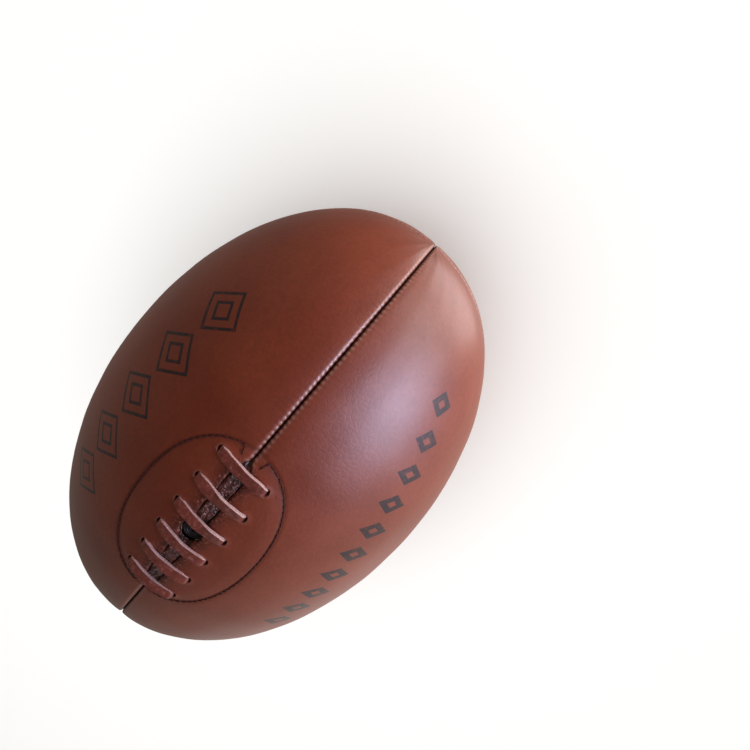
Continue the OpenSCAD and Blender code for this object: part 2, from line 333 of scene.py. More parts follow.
def thongLeather():
    # the same hide cut into a thong: dyed face rubbed by the hands, pale fibrous cut edges
    material, tree, surface = newMaterial("thongLeather", {"IOR": 1.5, "Coat Weight": 0.25,
                                                           "Coat Roughness": 0.3})
    inMm = inMillimetres(tree)
    cloud = add(tree, "TexNoise", {"Vector": inMm, "Scale": 1 / thong["cloud"], "Detail": 5.0,
                                   "Roughness": 0.65})
    face = add(tree, "ValToRGB", {"Fac": cloud}, stops=thong["faceColours"])
    fibre = add(tree, "TexNoise", {"Vector": inMm, "Scale": 1 / thong["fibre"], "Detail": 3.0})
    cut = add(tree, "ValToRGB", {"Fac": fibre}, stops=thong["cutColours"])
    edge = add(tree, "Attribute", attribute_name="cutEdge")
    colour = add(tree, "Mix", {0: (edge, "Fac"), 6: face, 7: cut}, data_type="RGBA")
    link(tree, colour, surface, "Base Color")
    smoothest, roughest = thong["roughness"]
    rough = add(tree, "MapRange", {"Value": (edge, "Fac"), "To Min": smoothest, "To Max": roughest})
    link(tree, rough, surface, "Roughness")
    grain = add(tree, "Bump", {"Strength": 0.6, "Distance": thong["fibreDepth"], "Height": fibre})
    link(tree, grain, surface, "Normal")
    return material


split = {
    "tongueColours": ((0.36, "#40190f"), (0.60, "#8c4534")),
    # pale spots on the tongue, painted glints
    "glintColour": "#c9a9a2",
    "cloud": 2.5,       # sizes in mm, depths in m
    "patchy": 0.9,
    "crack": 1.1,
    "crackDepth": 0.0007,
    "fine": 0.6,
    "fineDepth": 0.0004,
    "facingColours": ((0.3, "#7d5136"), (0.7, "#a9795a")),
    "nap": 0.8,
    "napDepth": 0.0002,
}


def tongueLeather():
    # soft split leather, creased by lacing and polished by the lips, so its ridges glint; its pale spots are
    # painted glints
    material, tree, surface = newMaterial("tongueLeather", {"IOR": 1.5, "Roughness": 0.4, "Coat Weight": 1.0,
                                                            "Coat Roughness": 0.12})
    inMm = inMillimetres(tree)
    cloud = add(tree, "TexNoise", {"Vector": inMm, "Scale": 1 / split["cloud"], "Detail": 4.0})
    colour = add(tree, "ValToRGB", {"Fac": cloud}, stops=split["tongueColours"])
    # painted glints: pale spots over the dark leather
    glintNoise = add(tree, "TexNoise", {"Vector": inMm, "Scale": 1 / split["patchy"], "Detail": 4.0,
                                    "Roughness": 0.7})
    spots = add(tree, "ValToRGB", {"Fac": glintNoise}, stops=((0.57, 0.0), (0.66, 0.85)))
    colour = add(tree, "Mix", {0: spots, 6: colour, 7: toLinear(split["glintColour"])}, data_type="RGBA")
    link(tree, colour, surface, "Base Color")
    crack = add(tree, "TexVoronoi", {"Vector": inMm, "Scale": 1 / split["crack"]}, feature="F1")
    fine = add(tree, "TexNoise", {"Vector": inMm, "Scale": 1 / split["fine"], "Detail": 2.0})
    grain = add(tree, "Bump", {"Strength": 1.0, "Distance": split["crackDepth"],
                               "Height": (crack, "Distance")})
    grain = add(tree, "Bump", {"Strength": 0.8, "Distance": split["fineDepth"], "Height": fine,
                               "Normal": grain})
    link(tree, grain, surface, "Normal")
    return material


def splitLeather():
    # undyed flesh-side leather of the hidden facings: pale, napped and dull
    material, tree, surface = newMaterial("splitLeather", {"Roughness": 0.85, "Sheen Weight": 0.25})
    inMm = inMillimetres(tree)
    nap = add(tree, "TexNoise", {"Vector": inMm, "Scale": 1 / split["nap"], "Detail": 6.0, "Roughness": 0.75})
    colour = add(tree, "ValToRGB", {"Fac": nap}, stops=split["facingColours"])
    link(tree, colour, surface, "Base Color")
    relief = add(tree, "Bump", {"Strength": 0.5, "Distance": split["napDepth"], "Height": nap})
    link(tree, relief, surface, "Normal")
    return material


thread = {
    # painted shade in the grooves between the plies and painted highlight on their crowns
    "stitch": ("#32110a", "#5c281a"),
    "seam": ("#1c0c09", "#4c241b"),
    "plyDepth": 0.0001,
}


def waxedThread(use):
    # two-ply waxed polyester, dull with wax: ply bands run slantwise round each strand,
    # sin(4 pi (along + round)), where round goes from 0 to 1
    groove, crown = thread[use]
    material, tree, surface = newMaterial(use + "Thread", {"Roughness": 0.8, "Specular IOR Level": 0.2})
    layout = add(tree, "UVMap", uv_map="layout")
    part = add(tree, "SeparateXYZ", {"Vector": layout})
    slant = add(tree, "Math", {0: (part, "X"), 1: (part, "Y")}, operation="ADD")
    turns = add(tree, "Math", {0: slant, 1: 4 * math.pi}, operation="MULTIPLY")
    ply = add(tree, "Math", {0: turns}, operation="SINE")
    share = add(tree, "MapRange", {"Value": ply, "From Min": -1.0})
    # the ply grooves are painted darker as shade and the crowns lighter as highlight
    colour = add(tree, "ValToRGB", {"Fac": share}, stops=((0.1, groove), (0.8, crown)))
    link(tree, colour, surface, "Base Color")
    lay = add(tree, "Bump", {"Strength": 0.7, "Distance": thread["plyDepth"], "Height": share})
    link(tree, lay, surface, "Normal")
    return material


rubber = {
    # colour, colour of the bloom on it, roughness
    "valve": ("#121212", "#34322f", 0.42),
    "plug": ("#0d0d0d", "#2b2a29", 0.35),
    "bladder": ("#2a1a16", "#5a3a30", 0.55),
    "bloom": 1.6,       # mm
    "texture": 0.4,
    "textureDepth": 0.00005,
}


def mouldedRubber(use):
    # vulcanised natural rubber: a soft gloss, a little grey bloom and the fine texture of its mould
    plain, dusty, roughness = rubber[use]
    material, tree, surface = newMaterial(use + "Rubber", {"IOR": 1.52, "Roughness": roughness})
    inMm = inMillimetres(tree)
    bloom = add(tree, "TexNoise", {"Vector": inMm, "Scale": 1 / rubber["bloom"], "Detail": 5.0,
                                   "Roughness": 0.7})
    colour = add(tree, "ValToRGB", {"Fac": bloom}, stops=((0.45, plain), (0.75, dusty)))
    link(tree, colour, surface, "Base Color")
    fine = add(tree, "TexNoise", {"Vector": inMm, "Scale": 1 / rubber["texture"], "Detail": 2.0})
    grain = add(tree, "Bump", {"Strength": 0.4, "Distance": rubber["textureDepth"], "Height": fine})
    link(tree, grain, surface, "Normal")
    return material


cotton = {"colours": ((0.2, "#a89a78"), (0.9, "#d9cdb0")), "threads": 0.32, "depth": 0.0003}


def wovenCotton():
    # plain-weave cotton backing cloth, unbleached; its threads are 0.5 mm and are drawn at 1 mm
    material, tree, surface = newMaterial("wovenCotton", {"Roughness": 0.9, "Sheen Weight": 0.3})
    inMm = inMillimetres(tree)
    settings = {"Vector": inMm, "Scale": cotton["threads"], "Distortion": 0.4}
    warp = add(tree, "TexWave", settings, bands_direction="X")
    weft = add(tree, "TexWave", settings, bands_direction="DIAGONAL")
    weave = add(tree, "Math", {0: warp, 1: weft}, operation="MAXIMUM")
    colour = add(tree, "ValToRGB", {"Fac": weave}, stops=cotton["colours"])
    link(tree, colour, surface, "Base Color")
    relief = add(tree, "Bump", {"Strength": 0.6, "Distance": cotton["depth"], "Height": weave})
    link(tree, relief, surface, "Normal")
    return material


def outline(t):
    # lengthwise outline, x = a cos t and r = b sin(t)^(2 fullness), with its outward direction
    sine = np.maximum(np.sin(t), 1e-6)
    power = 2 * ball["fullness"]
    x = ball["halfLength"] * np.cos(t)
    r = ball["halfWidth"] * sine ** power
    nx = power * ball["halfWidth"] * sine ** (power - 1) * np.cos(t)
    nr = ball["halfLength"] * sine
    size = np.hypot(nx, nr)
    return x, r, nx / size, nr / size


def outlineAt(x):
    return outline(np.arccos(np.clip(x / ball["halfLength"], -1, 1)))


def overBall(x, turn, height):
    # the point at x along the axis and turn radians round from the laced seam, raised by height
    _, r, nx, nr = outlineAt(x)
    out = r + height * nr
    return np.stack(np.broadcast_arrays(x + height * nx, out * np.sin(turn), out * np.cos(turn)), axis=-1)


def smooth(value):
    # 0 to 1 with level ends, v^2 (3 - 2 v)
    value = np.clip(value, 0, 1)
    return value * value * (3 - 2 * value)


def bump(far, reach):
    # exp(-(far / reach)^2)
    return np.exp(-(far / reach) ** 2)


def swell(u, v, seed, count, short, long):
    # an uneven surface: the mean of several sine waves, each with its own length, direction and phase
    rng = np.random.default_rng(seed)
    total = 0
    for length, heading, phase in zip(rng.uniform(short, long, count), rng.uniform(0, math.pi, count),
                                      rng.uniform(0, 2 * math.pi, count)):
        total = total + np.sin(2 * math.pi * (u * math.cos(heading) + v * math.sin(heading)) / length + phase)
    return total / math.sqrt(count)


def signedVolume(mesh):
    # the sum of a . (b x c) over the triangles, negative when the faces point inwards
    mesh.calc_loop_triangles()
    points = np.empty(len(mesh.vertices) * 3)
    mesh.vertices.foreach_get("co", points)
    corners = np.empty(len(mesh.loop_triangles) * 3, dtype=np.int32)
    mesh.loop_triangles.foreach_get("vertices", corners)
    a, b, c = (points.reshape(-1, 3)[corners.reshape(-1, 3)[:, k]] for k in range(3))
    return float(np.einsum("ij,ij->i", a, np.cross(b, c)).sum())


def meshObject(name, points, faces, uv=None, marked=None, sharp=40):
    # builds one object from points in millimetres, faces, a uv pair per point and named values per point
    mesh = bpy.data.meshes.new(name)
    mesh.from_pydata((points * mm).tolist(), [], faces)
    mesh.update()
    if signedVolume(mesh) < 0:
        mesh.flip_normals()
    corner = np.empty(len(mesh.loops), dtype=np.int32)
    mesh.loops.foreach_get("vertex_index", corner)
    if uv is not None:
        layer = mesh.uv_layers.new(name="layout")
        layer.data.foreach_set("uv", uv[corner].astype(np.float32).ravel())
    for key, values in (marked or {}).items():
        layer = mesh.attributes.new(key, "FLOAT", "POINT")
        layer.data.foreach_set("value", values.astype(np.float32).ravel())
    mesh.shade_smooth()
    mesh.set_sharp_from_angle(angle=math.radians(sharp))
    piece = bpy.data.objects.new(name, mesh)
    bpy.context.scene.collection.objects.link(piece)
    return piece


def gridFaces(index):
    return np.stack([index[:-1, :-1], index[1:, :-1], index[1:, 1:], index[:-1, 1:]], axis=-1)


def sheetSolid(name, outer, inner, kept, uv, marked=None, sharp=60):
    # an outer and an inner sheet on one grid, with walls wherever a kept face has no neighbour
    rows, cols = outer.shape[:2]
    below = rows * cols
    index = np.arange(below).reshape(rows, cols)
    quads = gridFaces(index)
    parts = [quads[kept], quads[kept][:, ::-1] + below]
    ringed = np.pad(kept, 1)
    rowSides = (ringed[:-1, 1:-1], ringed[1:, 1:-1], index[:, :-1], index[:, 1:])
    colSides = (ringed[1:-1, :-1], ringed[1:-1, 1:], index[1:, :], index[:-1, :])
    for before, after, start, end in (rowSides, colSides):
        for side, a, b in ((after & ~before, start, end), (before & ~after, end, start)):
            parts.append(np.stack([a[side], b[side], b[side] + below, a[side] + below], axis=-1))
    faces = np.concatenate(parts)
    used, faces = np.unique(faces, return_inverse=True)
    points = np.concatenate([outer.reshape(-1, 3), inner.reshape(-1, 3)])[used]
    both = {}
    for key, (top, under) in (marked or {}).items():
        both[key] = np.concatenate([top.ravel(), under.ravel()])[used]
    uv = np.concatenate([uv.reshape(-1, 2)] * 2)[used]
    return meshObject(name, points, faces.reshape(-1, 4).tolist(), uv, both, sharp)


def tubePiece(name, centres, across, out, profile, marked=None, sharp=80):
    # centre + p across + q out at every station, where the pairs (p, q) are its closed profile; flat ends
    rows, cols = profile.shape[:2]
    points = centres[:, None] + profile[..., :1] * across[:, None] + profile[..., 1:] * out[:, None]
    along = np.concatenate([[0], np.cumsum(np.linalg.norm(np.diff(centres, axis=0), axis=1))])
    uv = np.stack(np.broadcast_arrays(along[:, None], np.arange(cols) / cols), axis=-1)
    index = np.arange(rows * cols).reshape(rows, cols)
    faces = gridFaces(np.concatenate([index, index[:, :1]], axis=1)).reshape(-1, 4).tolist()
    faces += [index[0].tolist(), index[-1][::-1].tolist()]
    return meshObject(name, points.reshape(-1, 3), faces, uv.reshape(-1, 2), marked, sharp)


def turned(name, profile, closed, segments=72, sharp=35):
    # (radius cos turn, radius sin turn, height) for the pairs of a profile, which is closed on itself or
    # has both ends on the Z axis
    turn = np.linspace(0, 2 * math.pi, segments, endpoint=False)
    profile = np.asarray(profile, float)
    rings = profile if closed else profile[1:-1]
    points = np.stack([rings[:, :1] * np.cos(turn), rings[:, :1] * np.sin(turn),
                       np.repeat(rings[:, 1:], segments, axis=1)], axis=-1).reshape(-1, 3)
    index = np.arange(len(points)).reshape(-1, segments)
    index = np.concatenate([index, index[:, :1]], axis=1)
    if closed:
        index = np.concatenate([index, index[:1]])
        return meshObject(name, points, gridFaces(index).reshape(-1, 4).tolist(), sharp=sharp)
    faces = gridFaces(index).reshape(-1, 4).tolist()
    first, last = len(points), len(points) + 1
    faces += [[first, a, b] for a, b in zip(index[0, :-1].tolist(), index[0, 1:].tolist())]
    faces += [[last, b, a] for a, b in zip(index[-1, :-1].tolist(), index[-1, 1:].tolist())]
    ends = [[0, 0, profile[0, 1]], [0, 0, profile[-1, 1]]]
    return meshObject(name, np.concatenate([points, ends]), faces, sharp=sharp)


def settle(piece, nodes, material):
    # hands a finished piece to the frame: its body, the nodes it stands for and its material
    piece.name = nodes[0] + "_shown"
    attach(piece, bodyOf[nodes[0]])
    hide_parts(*nodes)
    piece.data.materials.append(material)


lacing = {
    "pitch": 15.7,          # mm from one pair of holes to the next
    "pairs": 6,
    "stagger": 1.3,         # the left row sits this far ahead of the middle, the right row behind it
    "turn": math.radians(7.6),
    "holeRadius": {1: 1.6, -1: 1.8},    # by side, left and right
    "crowd": 1.3,           # how fast the grid round a hole spreads out again
}
slit = {
    "front": 46.0,
    "rear": -51.0,
    "half": 3.5,            # half the open width between the lips
    "easing": 7.5,          # the lips close over this length at each end
    "tuck": 6.0,            # and the turned-in edge grows to its depth over this length beyond it
    "notch": 5.3,           # half round on both sides for the valve
    "blend": 8,             # how sharply the notch meets the lips
    "lipRadius": 1.3,
    "scallop": 0.25,        # each strap draws the lips this much closer
    "crumple": 0.14,        # the lips are this uneven, near their edge
    "crumpleReach": 3.0,
    "bed": 0.3,             # a strap sinks this far into them
    "bedWidth": 2.6,
    "bedReach": 6.0,
    "brokenReach": 4.2,     # the finish is broken up to about here
}
oval = {"halfX": 49.5, "halfY": 31.4, "power": 2.25}


def holeX(pair, side):
    return ((lacing["pairs"] - 1) / 2 - pair) * lacing["pitch"] + side * lacing["stagger"]


def slitOpen(x):
    # 0 where the seam is sewn, 1 where the lips are fully apart
    return smooth((slit["front"] - x) / slit["easing"]) * smooth((x - slit["rear"]) / slit["easing"])


def fromOval(x, y):
    # signed distance from the stitch line seen from above, negative inside
    power = oval["power"]
    size = (np.abs(x / oval["halfX"]) ** power + np.abs(y / oval["halfY"]) ** power) ** (1 / power)
    size = np.maximum(size, 1e-3)
    steepX = (np.abs(x) / oval["halfX"]) ** (power - 1) / oval["halfX"]
    steepY = (np.abs(y) / oval["halfY"]) ** (power - 1) / oval["halfY"]
    steep = size ** (1 - power) * np.hypot(steepX, steepY)
    return (size - 1) / np.maximum(steep, 1e-4)


panel = {
    "leather": 1.8,
    "rowStep": 0.65,        # a quarter of a stitch, so every stitch is cut the same
    "gap": 0.24,            # half the crease between two panels
    "gapBulge": 0.08,       # the leather between two stitches closes it by this
    "shoulder": 1.4,        # radius of the turned edge
    "turnedIn": 5.5,        # how deep the turned-in edge reaches
    "edgeInner": 1.8,       # its hidden face, from the seam plane
    "valley": 0.35,         # how far the seam sinks, steeply and then gently, and over what distance
    "valleyReach": 1.8,
    "dip": 0.35,
    "dipReach": 13.0,
    "pucker": 0.27,         # leather swells this much between two stitches
    "puckerReach": 1.1,
    "wearAndHighlight": 0.8,            # share of the dye rubbed off the shoulder, plus painted highlight on the beads between stitches, most at this place from the crease
    "wearAndHighlightPlace": 0.9,
    "wearAndHighlightReach": 0.7,
    "shadeReach": 0.28,      # painted shade darkens the crease itself up to about here
    "swell": 0.10,          # slow unevenness of the hide
    "pillow": 0.35,         # the stitched oval stands up by this
    "pillowReach": 7.0,
    "groove": 0.25,         # its stitches sink by this
    "grooveReach": 0.9,
    "rim": 0.30,            # raised ring round each lace hole, and how it turns down into the hole
    "rimPlace": 0.8,
    "rimDrop": 0.5,
    "fineTo": 34.0,         # the fine grid reaches this far from the laced seam
    "fineStep": 0.82,
    "edgeStep": 0.7,        # elsewhere the grid spreads out from a seam, up to the widest step
    "spread": 0.3,
    "widest": 5.0,
}
shoulderAngles = np.radians([0, 24, 46, 68, 90])
edgeCount = 2 + len(shoulderAngles)     # columns up one turned-in edge and over its shoulder


def lengthTable():
    t = np.linspace(1e-4, math.pi - 1e-4, 40001)
    x, r, _, _ = outline(t)
    length = np.concatenate([[0], np.cumsum(np.hypot(np.diff(x), np.diff(r)))])
    inside = np.flatnonzero(r >= ball["tipRadius"])
    return t, length, length[inside[0]], length[inside[-1]]


tTable, lengthOf, firstLength, lastLength = lengthTable()


def lengthAtX(x):
    return np.interp(math.acos(x / ball["halfLength"]), tTable, lengthOf)


def edgeColumns(gap, radius, wall, opened, quarter):
    # from the bottom of the turned-in edge up over its shoulder, for the outer and the hidden face:
    # distance gap + radius (1 - cos a) from the seam plane and depth radius (1 - sin a)
    cos, sin = np.cos(shoulderAngles), np.sin(shoulderAngles)
    halfway = 0.5 * (wall + radius) + 0.4
    outA = np.concatenate([gap, gap, gap + radius * (1 - cos)], axis=1)
    outD = np.concatenate([wall, halfway, radius * (1 - sin)], axis=1)
    hidden = np.maximum(np.minimum(panel["edgeInner"], 0.32 * quarter), gap + 0.05)
    over = np.maximum(radius - panel["leather"], 0)
    seamA = np.concatenate([hidden, hidden, gap + radius - (gap + radius - hidden) * cos], axis=1)
    seamD = np.concatenate([wall, halfway, panel["leather"] + over * (1 - sin)], axis=1)
    # at the open slit the edge is cut, and its hidden face is the underside of the leather
    lipA = np.concatenate([gap + 0.02, gap + 0.12, gap + 0.2 + (radius - 0.2) * (1 - cos)], axis=1)
    lipD = np.full_like(lipA, panel["leather"])
    return outA, outD, seamA + opened * (lipA - seamA), seamD + opened * (lipD - seamD)


def interiorShares(laced):
    # where the columns between the two shoulders lie, as shares of the way across, worked out at the middle
    across = ball["halfWidth"] * math.pi / 2 - 2 * (panel["gap"] + panel["shoulder"])
    place, places = 0.0, []
    while place < across:
        far = min(place, across - place)
        step = min(panel["widest"], panel["edgeStep"] + panel["spread"] * far)
        if laced and place < panel["fineTo"]:
            step = panel["fineStep"]
        elif laced and far == place:
            step = min(panel["widest"], panel["fineStep"] + panel["spread"] * (place - panel["fineTo"]))
        place += step
        places.append(place)
    return np.array(places[:-1]) / across


def makePanel(name, seamTurn, side, laced, material):
    # a quarter of the ball, on a grid of length along its outline and turn from one seam to the next;
    # seamTurn is where the first seam lies and side the way round to the second one
    count = int(round((lastLength - firstLength) / panel["rowStep"] / 4)) * 4
    rowLength = np.linspace(firstLength, lastLength, count + 1)[:, None]
    x, r, _, nr = outline(np.interp(rowLength, lengthOf, tTable))
    quarter = r * math.pi / 2
    # 1 between two stitches and -1 at a stitch, fading out where the seams meet
    bulge = np.cos(2 * math.pi * np.arange(count + 1) / 4)[:, None] * smooth(r / 10)

    opened = slitOpen(x) if laced else np.zeros_like(x)
    gap = np.minimum(panel["gap"] - panel["gapBulge"] * bulge * (1 - opened), 0.15 * quarter)
    radius = np.minimum(panel["shoulder"], 0.2 * quarter)
    edgeB = edgeColumns(gap, radius, np.full_like(x, panel["turnedIn"]), np.zeros_like(x), quarter)
    if laced:
        strap = np.cos(2 * math.pi * (x / lacing["pitch"] - 0.5))
        lip = slit["half"] - slit["scallop"] * strap
        notch = np.sqrt(np.maximum(slit["notch"] ** 2 - x ** 2, 0.01))
        lip = (lip ** slit["blend"] + notch ** slit["blend"]) ** (1 / slit["blend"])
        gap = gap + opened * (lip - gap)
        radius = radius + opened * (slit["lipRadius"] - radius)
    # the turned-in edge ends before the tongue begins
    tuck, tucked = slit["tuck"], 0
    if laced:
        tucked = smooth((slit["front"] + tuck - x) / tuck) * smooth((x - slit["rear"] + tuck) / tuck)
    shallow = np.maximum(panel["leather"], radius + 0.3)
    wall = shallow + (panel["turnedIn"] - shallow) * (1 - tucked)
    edgeA = edgeColumns(gap, radius, wall, opened, quarter)

    shares = interiorShares(laced)
    startS, endS = edgeA[0][:, -1:], quarter - edgeB[0][:, -1:]
    midS = startS + shares * (endS - startS)
    midL = np.repeat(rowLength, len(shares), axis=1)
    kept = np.ones((count, 2 * edgeCount - 1 + len(shares)), bool)
    rimDistance = np.full(midS.shape, 50.0)      # far from any hole
    if laced:
        for pair in range(lacing["pairs"]):
            punchHole(midL, midS, kept, rimDistance, holeX(pair, side), lacing["holeRadius"][side])

    # outer face: depth grows over the shoulders and in the seams' valleys
    turnA = edgeA[0] / (r - edgeA[1] * nr)
    turnB = math.pi / 2 - (edgeB[0] / (r - edgeB[1] * nr))[:, ::-1]
    xMid, rMid, _, _ = outline(np.interp(midL, lengthOf, tTable))
    turn = np.concatenate([turnA, midS / rMid, turnB], axis=1)
    edgeX = np.repeat(x, edgeCount, axis=1)
    place = np.concatenate([edgeX, xMid, edgeX], axis=1)
    depth = np.concatenate([edgeA[1], np.zeros_like(midS), edgeB[1][:, ::-1]], axis=1)
    away = np.concatenate([edgeA[0], midS, (quarter - edgeB[0])[:, ::-1]], axis=1)
    fromA = np.maximum(away - gap, 0)
    fromB = np.maximum(quarter - away - panel["gap"], 0)
    closed = 1 - opened
    wallPart = np.zeros(place.shape[1], bool)
    wallPart[[0, 1, -1, -2]] = True

    # sink = valley e^(-d / reach) + dip e^(-d / reach) - pucker bulge e^(-d / reach) at a distance d from a
    # seam, less the hide's own swell, and it fades out where the seams meet
    fade = smooth(r / 14)
    sink = panel["valley"] * (closed * np.exp(-fromA / panel["valleyReach"])
                              + np.exp(-fromB / panel["valleyReach"]))
    sink = sink + panel["dip"] * ((1 - 0.6 * opened) * np.exp(-fromA / panel["dipReach"])
                                  + np.exp(-fromB / panel["dipReach"]))
    sink = sink - panel["pucker"] * bulge * (closed * np.exp(-fromA / panel["puckerReach"])
                                             + np.exp(-fromB / panel["puckerReach"]))
    fullTurn = seamTurn + side * turn
    sink = sink - panel["swell"] * swell(place, fullTurn * 90, 4, 9, 16, 60)
    # the pale shoulder stripe is rubbed wear, and its swelling on each bead between stitches is painted
    # highlight
    bead = 0.6 + 0.4 * bulge
    wearAndHighlight = panel["wearAndHighlight"] * bead * (closed * bump(fromA - panel["wearAndHighlightPlace"], panel["wearAndHighlightReach"])
                                   + bump(fromB - panel["wearAndHighlightPlace"], panel["wearAndHighlightReach"]))
    # painted shade along the crease, except at the open slit
    deep = closed * np.exp(-fromA / panel["shadeReach"]) + np.exp(-fromB / panel["shadeReach"])
    crumpled = opened * bump(fromA, slit["brokenReach"])
    if laced:
        _, rHere, _, _ = outlineAt(place)
        off = fromOval(place, rHere * np.sin(turn))
        sink = sink - panel["pillow"] * smooth(-off / panel["pillowReach"])
        sink = sink + panel["groove"] * bump(off, panel["grooveReach"])
        # painted shade in the stitch groove
        deep = deep + 0.35 * bump(off, 0.7)
        rim = np.full(away.shape, 50.0)
        rim[:, edgeCount:-edgeCount] = rimDistance
        sink = sink - panel["rim"] * bump(rim - panel["rimPlace"], 0.6) + panel["rimDrop"] * bump(rim, 0.3)
        wearAndHighlight = wearAndHighlight + 0.25 * bump(rim - 0.5, 0.4)
        # painted shade down each lace hole
        deep = deep + 1.2 * bump(rim, 0.25)
        # the lips are crumpled, and each strap beds into them
        uneven = swell(place, away * 1.2, 41, 9, 2.4, 6.0)
        sink = sink + slit["crumple"] * opened * np.exp(-fromA / slit["crumpleReach"]) * uneven
        press = bump(np.minimum(np.abs(strapOffset(place)), 8), slit["bedWidth"])
        sink = sink + slit["bed"] * opened * press * bump(fromA, slit["bedReach"])
    depth = depth + np.where(wallPart, 0, fade * sink)
    outer = overBall(place, fullTurn, -depth)

    innerA = edgeA[2] / (r - edgeA[3] * nr)
    innerB = math.pi / 2 - (edgeB[2] / (r - edgeB[3] * nr))[:, ::-1]
    innerTurn = np.concatenate([innerA, midS / rMid, innerB], axis=1)
    innerDepth = np.concatenate([edgeA[3], np.full_like(midS, panel["leather"]), edgeB[3][:, ::-1]], axis=1)
    inner = overBall(place, seamTurn + side * innerTurn, -innerDepth)

    # the turned-in walls are painted dark all over as shade
    deep = np.clip(np.where(wallPart, 1, deep), 0, 1)
    wearAndHighlight = np.clip(wearAndHighlight, 0, panel["wearAndHighlight"]) * (1 - deep)
    uv = np.stack([place / 100, np.degrees(fullTurn) / 100], axis=-1)
    # by name, on the outer and on the inner face
    marked = {
        "wearAndHighlight": (wearAndHighlight, 0 * wearAndHighlight),
        "deep": (deep, np.maximum(deep, 0.4)),
        "crumpled": (crumpled, 0 * crumpled),
    }
    piece = sheetSolid(name, outer, inner, kept, uv, marked, sharp=50)
    settle(piece, [name], material)


def strapOffset(x):
    # distance along the ball from the nearest strap
    step = x / lacing["pitch"] - 0.5
    return (step - np.round(step)) * lacing["pitch"]


def punchHole(midL, midS, kept, rimDistance, x, radius):
    # draws the grid in round one lace hole and drops the faces inside it
    centreL = lengthAtX(x)
    centreS = float(outlineAt(x)[1]) * lacing["turn"]
    row = int(np.abs(midL[:, 0] - centreL).argmin())
    col = int(np.abs(midS[row] - centreS).argmin())
    tall, wide = 4, 3      # half the block of faces that is dropped, a third of the block that is drawn in
    rows = slice(row - 3 * tall, row + 3 * tall + 1)
    cols = slice(col - 3 * wide, col + 3 * wide + 1)
    di = (np.arange(6 * tall + 1) - 3 * tall)[:, None] / (3 * tall)
    dj = (np.arange(6 * wide + 1) - 3 * wide)[None, :] / (3 * wide)
    share = np.maximum(np.abs(di), np.abs(dj))
    keepGrid = np.clip((share - 1 / 3) / (2 / 3), 0, 1) ** lacing["crowd"]
    size = np.maximum(np.hypot(di, dj), 1e-6)
    ringL = centreL + radius * di / size
    ringS = centreS + radius * dj / size
    midL[rows, cols] = ringL + keepGrid * (midL[rows, cols] - ringL)
    midS[rows, cols] = ringS + keepGrid * (midS[rows, cols] - ringS)
    first = edgeCount + col - wide
    kept[row - tall:row + tall, first:first + 2 * wide] = False
    far = np.hypot(midL - centreL, midS - centreS) - radius
    np.minimum(rimDistance, np.maximum(far, 0), out=rimDistance)


tongue = {
    "halfLength": 51.5,
    "halfWidth": 25.0,
    "thickness": 1.2,
    "crest": 4.0,           # depth of its middle, before the lips let it rise
    "wing": 6.1,
    "rise": 3.2,            # how far it bulges up between the lips
    "riseTo": 2.9,          # up to this far from the seam plane, and then down within the next stretch
    "riseFall": 1.3,
    "crease": 0.26,         # height of its creases and of its crumples
    "pressed": 0.5,         # each strap presses it down by this
    "strapReach": 2.2,
    "holeRadius": 4.8,
    "holeLonger": 1.5,      # the hole is cut longer to the rear, so the valve can be worked out
    "notchHalf": 2.0,       # room for the seam's turned-in edges past the slit
    "step": 0.45,
    "fineCount": 20,        # fine columns on each side of the middle
}


